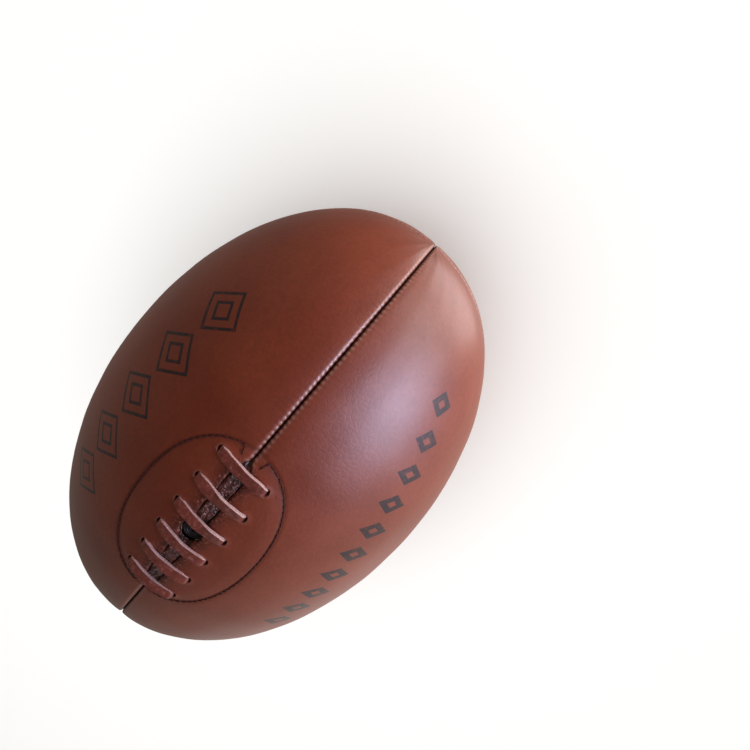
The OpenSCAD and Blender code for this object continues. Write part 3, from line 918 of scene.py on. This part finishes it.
def makeTongue():
    # a strip under the lips, on a grid of x along the ball and y across it, at depth
    # crest to wing - rise + creases below the ball's outline
    step, fineCount = tongue["step"], tongue["fineCount"]
    half = int(tongue["halfLength"] / step)
    xs = np.arange(-half, half + 1) * step
    fine = np.arange(-fineCount, fineCount + 1) * step
    wing = np.linspace(fine[-1], tongue["halfWidth"], 8)[1:]
    ys = np.concatenate([-wing[::-1], fine, wing])
    x, y = (grid.copy() for grid in np.meshgrid(xs, ys, indexing="ij"))
    kept = np.ones((len(xs) - 1, len(ys) - 1), bool)
    midX, midY = (xs[1:] + xs[:-1]) / 2, (ys[1:] + ys[:-1]) / 2
    past = (midX > slit["front"]) | (midX < slit["rear"])
    kept[past[:, None] & (np.abs(midY) < tongue["notchHalf"])[None, :]] = False

    # the valve's hole: the grid is drawn in to a circle, longer to the rear
    inRow, inCol, block, patch = half, len(wing) + fineCount, 9, 17
    rows, cols = slice(inRow - patch, inRow + patch + 1), slice(inCol - patch, inCol + patch + 1)
    di, dj = np.meshgrid(np.arange(-patch, patch + 1), np.arange(-patch, patch + 1), indexing="ij")
    keepGrid = np.clip((np.maximum(abs(di), abs(dj)) - block) / (patch - block), 0, 1)
    size = np.maximum(np.hypot(di, dj), 1e-6)
    ringX = tongue["holeRadius"] * di / size * np.where(di < 0, tongue["holeLonger"], 1)
    ringY = tongue["holeRadius"] * dj / size
    x[rows, cols] = ringX + keepGrid * (x[rows, cols] - ringX)
    y[rows, cols] = ringY + keepGrid * (y[rows, cols] - ringY)
    kept[inRow - block:inRow + block, inCol - block:inCol + block] = False

    middle = (1 - smooth((np.abs(y) - tongue["riseTo"]) / tongue["riseFall"])) * slitOpen(x)
    aroundValve = smooth((np.hypot(x, y) - tongue["holeRadius"]) / 2.5)
    rise = tongue["rise"] * middle * (0.55 + 0.45 * aroundValve)
    # creased lengthwise by the lips and crumpled between the straps
    crease = swell(x * 0.5, y * 1.5, 21, 7, 2.2, 5.0) + swell(x, y, 22, 9, 1.5, 3.0)
    pressed = tongue["pressed"] * bump(strapOffset(x), tongue["strapReach"])
    depth = tongue["crest"] + (tongue["wing"] - tongue["crest"]) * smooth((np.abs(y) - 3.75) / 5.5)
    depth = depth - rise + middle * (tongue["crease"] * crease + pressed)
    _, r, _, nr = outlineAt(x)
    turn = np.arcsin(y / (r - depth * nr))
    outer = overBall(x, turn, -depth)
    inner = overBall(x, turn, -depth - tongue["thickness"])
    uv = np.stack([x / 10, y / 10], axis=-1)
    piece = sheetSolid("tongue", outer, inner, kept, uv)
    settle(piece, ["tongue"], tongueLeather())


lace = {
    "width": 5.3,
    "thickness": 1.8,
    "corner": 0.35,
    "crown": 1.3,           # height of a strap's middle
    "under": -4.8,          # height of the runs below the facing
    "tail": 8.0,            # mm tucked under the facing past the last hole at both ends
    "lean": 13.0,           # degrees a strap leans to either side
    "step": 0.5,
    "bows": [0.2, 0.6, 0.8, 1.0, 1.2, 1.6],    # mm each strap sags back along the ball, from the front one
    # one leg through a hole: offset along X, share of the row's turn, height, width, thickness and
    # twist in degrees
    "leg": [
        (2.6, 1.0, -4.8, 5.0, 1.8, 90),
        (1.0, 1.0, -4.55, 3.4, 2.0, 90),
        (0.0, 1.0, -2.9, 2.9, 2.1, 60),
        (0.0, 1.0, -0.8, 3.1, 2.2, 10),
        (0.0, 0.965, 0.55, 4.2, 1.9, 0),
        (0.0, 0.84, 1.1, 5.1, 1.7, 0),
        (0.0, 0.45, 1.2, 5.3, 1.7, 0),
    ],
}


def laceStations():
    # x, share of the row's turn, height, width, thickness, twist and lean of every station, front tail first
    rng = np.random.default_rng(11)
    width, thickness = lace["width"], lace["thickness"]
    rows = [(holeX(0, 1) + lace["tail"], 1, lace["under"], width, thickness, 90, 0)]
    for pair in range(lacing["pairs"]):
        side = 1 if pair % 2 == 0 else -1
        up, down = holeX(pair, side), holeX(pair, -side)
        bow = lace["bows"][pair]
        leans = rng.uniform(-lace["lean"], lace["lean"], 3)      # at a strap's start, middle and end
        strap = []
        for start, end, ahead, lean in ((up, down, 1, leans[0]), (down, up, -1, leans[2])):
            leg = []
            for dx, share, height, wide, thick, twist in lace["leg"]:
                inward = (1 - share) / 2
                x = start + ahead * dx + inward * (end - start) - 3 * bow * inward
                leg.append((x, ahead * side * share, height, wide, thick, twist, lean * (height > 0)))
            strap.append(leg)
        rows += strap[0]
        rows.append(((up + down) / 2 - bow, 0, lace["crown"], width, thickness, 0, leans[1]))
        rows += strap[1][::-1]
    rows.append((holeX(lacing["pairs"] - 1, 1) - lace["tail"], 1, lace["under"], width, thickness, 90, 0))
    return np.array(rows, float)


def throughPoints(points, step):
    # Catmull-Rom curve through points: positions, directions and how far along the list each one is
    padded = np.concatenate([2 * points[:1] - points[1:2], points, 2 * points[-1:] - points[-2:-1]])
    gaps = np.linalg.norm(np.diff(points, axis=0), axis=1)
    parts = [np.linspace(k, k + 1, max(2, math.ceil(gap / step)), endpoint=False)
             for k, gap in enumerate(gaps)]
    where = np.concatenate(parts + [[len(points) - 1]])
    k = np.minimum(where.astype(int), len(points) - 2)
    f = (where - k)[:, None]
    p0, p1, p2, p3 = (padded[k + n] for n in range(4))
    first, second, third = p2 - p0, 2 * p0 - 5 * p1 + 4 * p2 - p3, 3 * p1 - p0 - 3 * p2 + p3
    place = 0.5 * (2 * p1 + first * f + second * f ** 2 + third * f ** 3)
    heading = 0.5 * (first + 2 * second * f + 3 * third * f ** 2)
    return place, unit(heading), where


def unit(vectors):
    return vectors / np.maximum(np.linalg.norm(vectors, axis=-1, keepdims=True), 1e-9)


def flatProfile(width, thickness, corner):
    # a flat section with round corners and slightly crowned faces at every station, and which of its points
    # lie on the cut edges
    arc = np.radians([0, 30, 60, 90])
    pairs, onEdge = [], []
    for signX, signY in ((1, 1), (-1, 1), (-1, -1), (1, -1)):
        onward = signX * signY > 0
        for angle in arc if onward else arc[::-1]:
            pairs.append((signX * (width / 2 - corner + corner * math.cos(angle)),
                          signY * (thickness / 2 - corner + corner * math.sin(angle))))
            onEdge.append(float(math.sin(angle) < 0.6))
        if onward:
            for share in (0.4, 0.0, -0.4):
                pairs.append((signX * share * width, signY * (thickness / 2 + 0.05 - 0.1 * abs(share))))
                onEdge.append(0.0)
    return np.stack([np.stack(pair, axis=-1) for pair in pairs], axis=1), np.array(onEdge)


def makeLace():
    # the flat section carried along a curve through the stations, twisted edgewise inside each hole
    rows = laceStations()
    turn = rows[:, 1] * lacing["turn"]
    places = overBall(rows[:, 0], turn, rows[:, 2])
    centres, along, where = throughPoints(places, lace["step"])
    at = np.arange(len(rows))
    columns = (turn, rows[:, 3], rows[:, 4], rows[:, 5], rows[:, 6])
    turn, wide, thick, twist, lean = (np.interp(where, at, column) for column in columns)
    twist, lean = np.radians(twist), np.radians(lean)[:, None]
    across = np.stack([np.cos(twist), np.sin(twist) * np.cos(turn), -np.sin(twist) * np.sin(turn)], axis=-1)
    across = unit(across - along * np.sum(across * along, axis=-1, keepdims=True))
    out = np.cross(along, across)
    across, out = across * np.cos(lean) + out * np.sin(lean), out * np.cos(lean) - across * np.sin(lean)
    wide = wide * (1 + 0.035 * swell(where * 3, 0, 31, 5, 4, 11))
    profile, onEdge = flatProfile(wide, thick, lace["corner"])
    profile = profile * (1 + 0.03 * swell(where * 3, 0, 32, 5, 3, 7))[:, None, None]
    edge = np.repeat(onEdge[None, :], len(where), axis=0)
    piece = tubePiece("lace", centres, across, out, profile, {"cutEdge": edge}, sharp=60)
    settle(piece, ["lace"], thongLeather())


stitches = {
    "pitch": 3.0,
    "wide": 0.6,
    "high": 0.5,
    "points": 10,           # along one stitch
    "crown": 0.16,          # height of a stitch's middle over the groove
    "bite": -0.75,          # height where it goes down its needle hole
    "diving": 5,            # how suddenly it goes down
    "pinched": (0.35, 0.2),     # it is this much narrower and lower there
    "groove": 0.1,          # depth of the groove it lies in
    "raised": 0.3,          # share of the oval's pillow that lifts it
    "turnIn": 6.2,          # the line turns back this far from the seam
    "turnTo": 4.6,          # and ends this far from the seam
    "returns": (-4.4, 1.0),     # moving this much along the ball, in front and behind
}
seamLine = {
    "depth": 2.45,
    "radius": 0.34,
    "sway": 0.14,           # to the left and right, stitch by stitch
    "bead": 0.10,           # thicker between stitches
    "short": 1.0,           # ends this far from the panels' tips
}


def strandPiece(name, path, wide, high, sides):
    # a strand of oval section (wide / 2 cos turn, high / 2 sin turn) along path, lying on the ball
    along = unit(np.gradient(path, axis=0))
    out = unit(path * np.array([0.35, 1, 1]))
    across = unit(np.cross(out, along))
    out = np.cross(along, across)
    turn = np.linspace(0, 2 * math.pi, sides, endpoint=False)
    profile = np.stack([wide[:, None] / 2 * np.cos(turn), high[:, None] / 2 * np.sin(turn)], axis=-1)
    return tubePiece(name, path, across, out, profile)


def makeFacingStitch(side, material):
    # round the oval from the front of the slit to its rear, turning back towards the slit at both ends;
    # height crown + (bite - crown) dive, where dive is |2 share - 1|^diving over a stitch
    t = np.linspace(0, math.pi, 600)
    x = oval["halfX"] * np.sign(np.cos(t)) * np.abs(np.cos(t)) ** (2 / oval["power"])
    y = oval["halfY"] * np.sin(t) ** (2 / oval["power"])
    outside = y > stitches["turnIn"]
    x, y = x[outside], y[outside]
    front, rear = stitches["returns"]
    x = np.concatenate([[x[0] + front], x, [x[-1] + rear]])
    y = np.concatenate([[stitches["turnTo"]], y, [stitches["turnTo"]]])
    far = np.concatenate([[0], np.cumsum(np.hypot(np.diff(x), np.diff(y)))])
    count = int(far[-1] / stitches["pitch"]) * stitches["points"]
    step = np.linspace(0, far[-1], count + 1)
    x, y = np.interp(step, far, x), np.interp(step, far, y)
    inStitch = np.arange(count + 1) % stitches["points"] / stitches["points"]
    dive = np.abs(2 * inStitch - 1) ** stitches["diving"]
    height = stitches["crown"] + (stitches["bite"] - stitches["crown"]) * dive
    height = height - stitches["groove"] + panel["pillow"] * stitches["raised"]
    _, r, _, _ = outlineAt(x)
    path = overBall(x, side * np.arcsin(np.clip(y / r, -1, 1)), height)
    narrower, lower = stitches["pinched"]
    wide = stitches["wide"] * (1 - narrower * dive)
    high = stitches["high"] * (1 - lower * dive)
    name = "facing_stitch_left" if side > 0 else "facing_stitch_right"
    piece = strandPiece(name, path, wide, high, sides=10)
    settle(piece, [name], material)


def makeSeamThread(name, turn, start, end, material):
    # lies along the bottom of the crease at radius + bead cos(2 pi stitch), swaying with sin(pi stitch)
    first = max(lengthAtX(end), firstLength + seamLine["short"])
    last = min(lengthAtX(start), lastLength - seamLine["short"])
    step = np.arange(first, last, panel["rowStep"])
    x, r, _, _ = outline(np.interp(step, lengthOf, tTable))
    stitch = (step - firstLength) / (4 * panel["rowStep"])
    sway = seamLine["sway"] * np.sin(math.pi * stitch)
    width = 2 * (seamLine["radius"] + seamLine["bead"] * np.cos(2 * math.pi * stitch))
    path = overBall(x, turn + sway / np.maximum(r, 2), -seamLine["depth"])
    piece = strandPiece(name, path, width, width, sides=8)
    settle(piece, [name], material)


valve = {
    # radii
    "bore": 2.5,
    "seat": 3.65,
    "collar": 4.5,
    "bend": 8.0,            # from here the flange slopes more, following the bladder
    "flange": 12.0,
    "plug": 2.45,
    "head": 3.55,
    "groove": (2.1, 2.25, 2.6, 2.75),   # ring groove in the head
    "needle": 1.0,
    # heights over the ball's centre
    "bottom": 76.0,
    "flangeTop": 86.75,
    "top": 93.5,
    "plugBottom": 78.45,
    "needleFloor": 80.95,
    "headBase": 92.35,
    "headTop": 93.45,
    "rings": (80.0, 85.0, 87.0, 90.0),  # dividing the long walls
    # differences in height
    "seatDepth": 1.2,
    "flangeDrop": 0.85,
    "flangeThick": 1.0,
}


def makeValve():
    bore, seat, collar, flange, bend = (valve[key] for key in ("bore", "seat", "collar", "flange", "bend"))
    bottom, top, flangeTop, drop = (valve[key] for key in ("bottom", "top", "flangeTop", "flangeDrop"))
    ledge = top - valve["seatDepth"]
    under = flangeTop - valve["flangeThick"]
    lowRing, midRing, needleRing, highRing = valve["rings"]
    # up the bore, over the seat and the rim, down outside, out and back along the flange, and down
    profile = [
        (bore, bottom + 0.3), (bore, midRing), (bore, ledge - 0.2), (bore + 0.2, ledge),
        (seat - 0.1, ledge), (seat, ledge + 0.1), (seat, top - 0.25), (seat + 0.1, top - 0.06),
        (seat + 0.28, top), (collar - 0.28, top), (collar - 0.09, top - 0.07), (collar, top - 0.28),
        (collar, highRing), (collar, flangeTop + 0.5), (collar + 0.15, flangeTop + 0.05),
        (collar + 0.6, flangeTop - 0.12), (bend, flangeTop - 0.38), (flange - 0.3, flangeTop - drop),
        (flange, flangeTop - drop - 0.35), (flange - 0.3, under - drop + 0.2), (bend, under - 0.38),
        (collar + 0.5, under - 0.15), (collar, under - 0.6), (collar, lowRing), (collar, bottom + 0.5),
        (collar - 0.5, bottom), (bore + 0.3, bottom),
    ]
    body = turned("valve_body", profile, closed=True)
    settle(body, ["valve_body"], mouldedRubber("valve"))

    radius, head, needle = valve["plug"], valve["head"], valve["needle"]
    foot, base, top, floor = (valve[key] for key in ("plugBottom", "headBase", "headTop", "needleFloor"))
    inner, innerFloor, outerFloor, outer = valve["groove"]
    # up outside, over the head and its groove, and down the needle hole
    profile = [
        (0, foot), (1.6, foot), (2.25, foot + 0.25), (radius, foot + 0.8), (radius, midRing),
        (radius, base - 0.02), (head - 0.25, base), (head, base + 0.25), (head, top - 0.35),
        (head - 0.12, top - 0.1), (head - 0.4, top), (outer, top), (outerFloor, top - 0.22),
        (innerFloor, top - 0.25), (inner, top - 0.05), (1.5, top), (needle + 0.18, top - 0.08),
        (needle, top - 0.35), (needle, needleRing), (needle, floor + 0.2), (0.8, floor), (0, floor),
    ]
    plug = turned("valve_plug", profile, closed=False)
    settle(plug, ["valve_plug"], mouldedRubber("plug"))


plainHide = panelLeather("panelLeather")
makePanel("panel_lace_left", 0.0, 1, True, panelLeather("panelLeatherLeft", 1))
makePanel("panel_lace_right", 0.0, -1, True, panelLeather("panelLeatherRight", -1))
makePanel("panel_back_left", math.pi, -1, False, plainHide)
makePanel("panel_back_right", -math.pi, 1, False, plainHide)
print("panels done")

makeTongue()
makeLace()
print("tongue and lace done")

stitchThread = waxedThread("stitch")
for side in (1, -1):
    makeFacingStitch(side, stitchThread)
seamThread = waxedThread("seam")
reach = ball["halfLength"] - 0.2
makeSeamThread("seam_thread_front", 0.0, slit["front"] + 0.1, reach, seamThread)
makeSeamThread("seam_thread_rear", 0.0, -reach, slit["rear"] - 0.1, seamThread)
makeSeamThread("seam_thread_left", math.pi / 2, -reach, reach, seamThread)
makeSeamThread("seam_thread_right", -math.pi / 2, -reach, reach, seamThread)
makeSeamThread("seam_thread_bottom", math.pi, -reach, reach, seamThread)
makeValve()
print("threads and valve done")

hidden = {
    "lining": wovenCotton(),
    "facing": splitLeather(),
    "bladder": mouldedRubber("bladder"),
}
for name, node in frame["nodes"].items():
    kind = name.split("_")[0]
    if kind in hidden and not node.hide_render:
        node.data.materials.clear()
        node.data.materials.append(hidden[kind])

makeStudio([o for o in bpy.context.scene.objects if o.type == "MESH"])
makeCamera()
print("camera and lights done")

bpy.context.view_layer.update()
